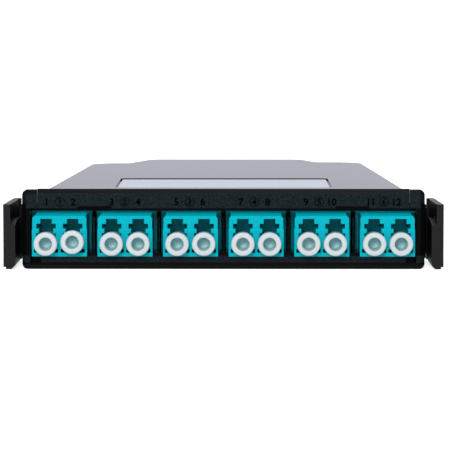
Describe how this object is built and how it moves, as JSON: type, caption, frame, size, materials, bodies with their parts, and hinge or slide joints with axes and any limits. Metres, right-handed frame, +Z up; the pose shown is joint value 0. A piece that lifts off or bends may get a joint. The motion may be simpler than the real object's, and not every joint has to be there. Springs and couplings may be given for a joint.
{
  "type": "fibre cassette",
  "caption": "Flat black fibre cassette: a row of capped aqua duplex LC ports in front, a side latch each side, and a tapering housing with a capped multi-fibre port behind.",
  "frame": {"origin": "centre of the tray's underside, half-way between the bezel's front and the rear of the housing", "axes": "+Z up, +Y from the bezel to the rear port, +X to the right seen from the front"},
  "size_m": [0.1032, 0.1371, 0.0189],
  "materials": {
    "black_housing": "fine-grained satin moulded ABS",
    "black_latch": "satin moulded nylon",
    "aqua_adapter": "smooth moulded plastic",
    "white_cap": "soft translucent polyethylene",
    "white_label": "matt printed film, left plain",
    "plug_beige": "moulded plastic",
    "aqua_fibre": "buffered fibre",
    "black_adapter": "moulded plastic",
    "black_cap": "soft moulded plastic"
  },
  "bodies": {
    "housing": {"base_tray": "black_housing", "top_cover": "black_housing", "top_label": "white_label", "lc_adapter_1": "aqua_adapter", "lc_adapter_2": "aqua_adapter", "lc_adapter_3": "aqua_adapter", "lc_adapter_4": "aqua_adapter", "lc_adapter_5": "aqua_adapter", "lc_adapter_6": "aqua_adapter", "inner_plugs_1": "plug_beige", "inner_plugs_2": "plug_beige", "inner_plugs_3": "plug_beige", "inner_plugs_4": "plug_beige", "inner_plugs_5": "plug_beige", "inner_plugs_6": "plug_beige", "mpo_adapter": "black_adapter", "mpo_inner_plug": "black_adapter", "fanout_block": "black_adapter", "fibre_ribbon": "aqua_fibre", "fibre_legs": "aqua_fibre"},
    "left_latch": {"left_latch": "black_latch"},
    "right_latch": {"right_latch": "black_latch"},
    "dust_cap_1": {"dust_cap_1": "white_cap"},
    "dust_cap_2": {"dust_cap_2": "white_cap"},
    "dust_cap_3": {"dust_cap_3": "white_cap"},
    "dust_cap_4": {"dust_cap_4": "white_cap"},
    "dust_cap_5": {"dust_cap_5": "white_cap"},
    "dust_cap_6": {"dust_cap_6": "white_cap"},
    "dust_cap_7": {"dust_cap_7": "white_cap"},
    "dust_cap_8": {"dust_cap_8": "white_cap"},
    "dust_cap_9": {"dust_cap_9": "white_cap"},
    "dust_cap_10": {"dust_cap_10": "white_cap"},
    "dust_cap_11": {"dust_cap_11": "white_cap"},
    "dust_cap_12": {"dust_cap_12": "white_cap"},
    "mpo_dust_cap": {"mpo_dust_cap": "black_cap"}
  },
  "joints": [
    {"name": "left_latch_press", "type": "hinge", "parent": "housing", "child": "left_latch", "pos_m": [-0.048, -0.0405, 0.0075], "axis": [0, 0, 1], "range_deg": [0, 3], "stiffness_Nm_per_rad": 0.4},
    {"name": "right_latch_press", "type": "hinge", "parent": "housing", "child": "right_latch", "pos_m": [0.048, -0.0405, 0.0075], "axis": [0, 0, -1], "range_deg": [0, 3], "stiffness_Nm_per_rad": 0.4},
    {"name": "dust_cap_1_pull", "type": "slide", "parent": "housing", "child": "dust_cap_1", "axis": [0, -1, 0], "range_m": [0, 0.014]},
    {"name": "dust_cap_2_pull", "type": "slide", "parent": "housing", "child": "dust_cap_2", "axis": [0, -1, 0], "range_m": [0, 0.014]},
    {"name": "dust_cap_3_pull", "type": "slide", "parent": "housing", "child": "dust_cap_3", "axis": [0, -1, 0], "range_m": [0, 0.014]},
    {"name": "dust_cap_4_pull", "type": "slide", "parent": "housing", "child": "dust_cap_4", "axis": [0, -1, 0], "range_m": [0, 0.014]},
    {"name": "dust_cap_5_pull", "type": "slide", "parent": "housing", "child": "dust_cap_5", "axis": [0, -1, 0], "range_m": [0, 0.014]},
    {"name": "dust_cap_6_pull", "type": "slide", "parent": "housing", "child": "dust_cap_6", "axis": [0, -1, 0], "range_m": [0, 0.014]},
    {"name": "dust_cap_7_pull", "type": "slide", "parent": "housing", "child": "dust_cap_7", "axis": [0, -1, 0], "range_m": [0, 0.014]},
    {"name": "dust_cap_8_pull", "type": "slide", "parent": "housing", "child": "dust_cap_8", "axis": [0, -1, 0], "range_m": [0, 0.014]},
    {"name": "dust_cap_9_pull", "type": "slide", "parent": "housing", "child": "dust_cap_9", "axis": [0, -1, 0], "range_m": [0, 0.014]},
    {"name": "dust_cap_10_pull", "type": "slide", "parent": "housing", "child": "dust_cap_10", "axis": [0, -1, 0], "range_m": [0, 0.014]},
    {"name": "dust_cap_11_pull", "type": "slide", "parent": "housing", "child": "dust_cap_11", "axis": [0, -1, 0], "range_m": [0, 0.014]},
    {"name": "dust_cap_12_pull", "type": "slide", "parent": "housing", "child": "dust_cap_12", "axis": [0, -1, 0], "range_m": [0, 0.014]},
    {"name": "mpo_dust_cap_pull", "type": "slide", "parent": "housing", "child": "mpo_dust_cap", "axis": [0, 1, 0], "range_m": [0, 0.014]}
  ]
}
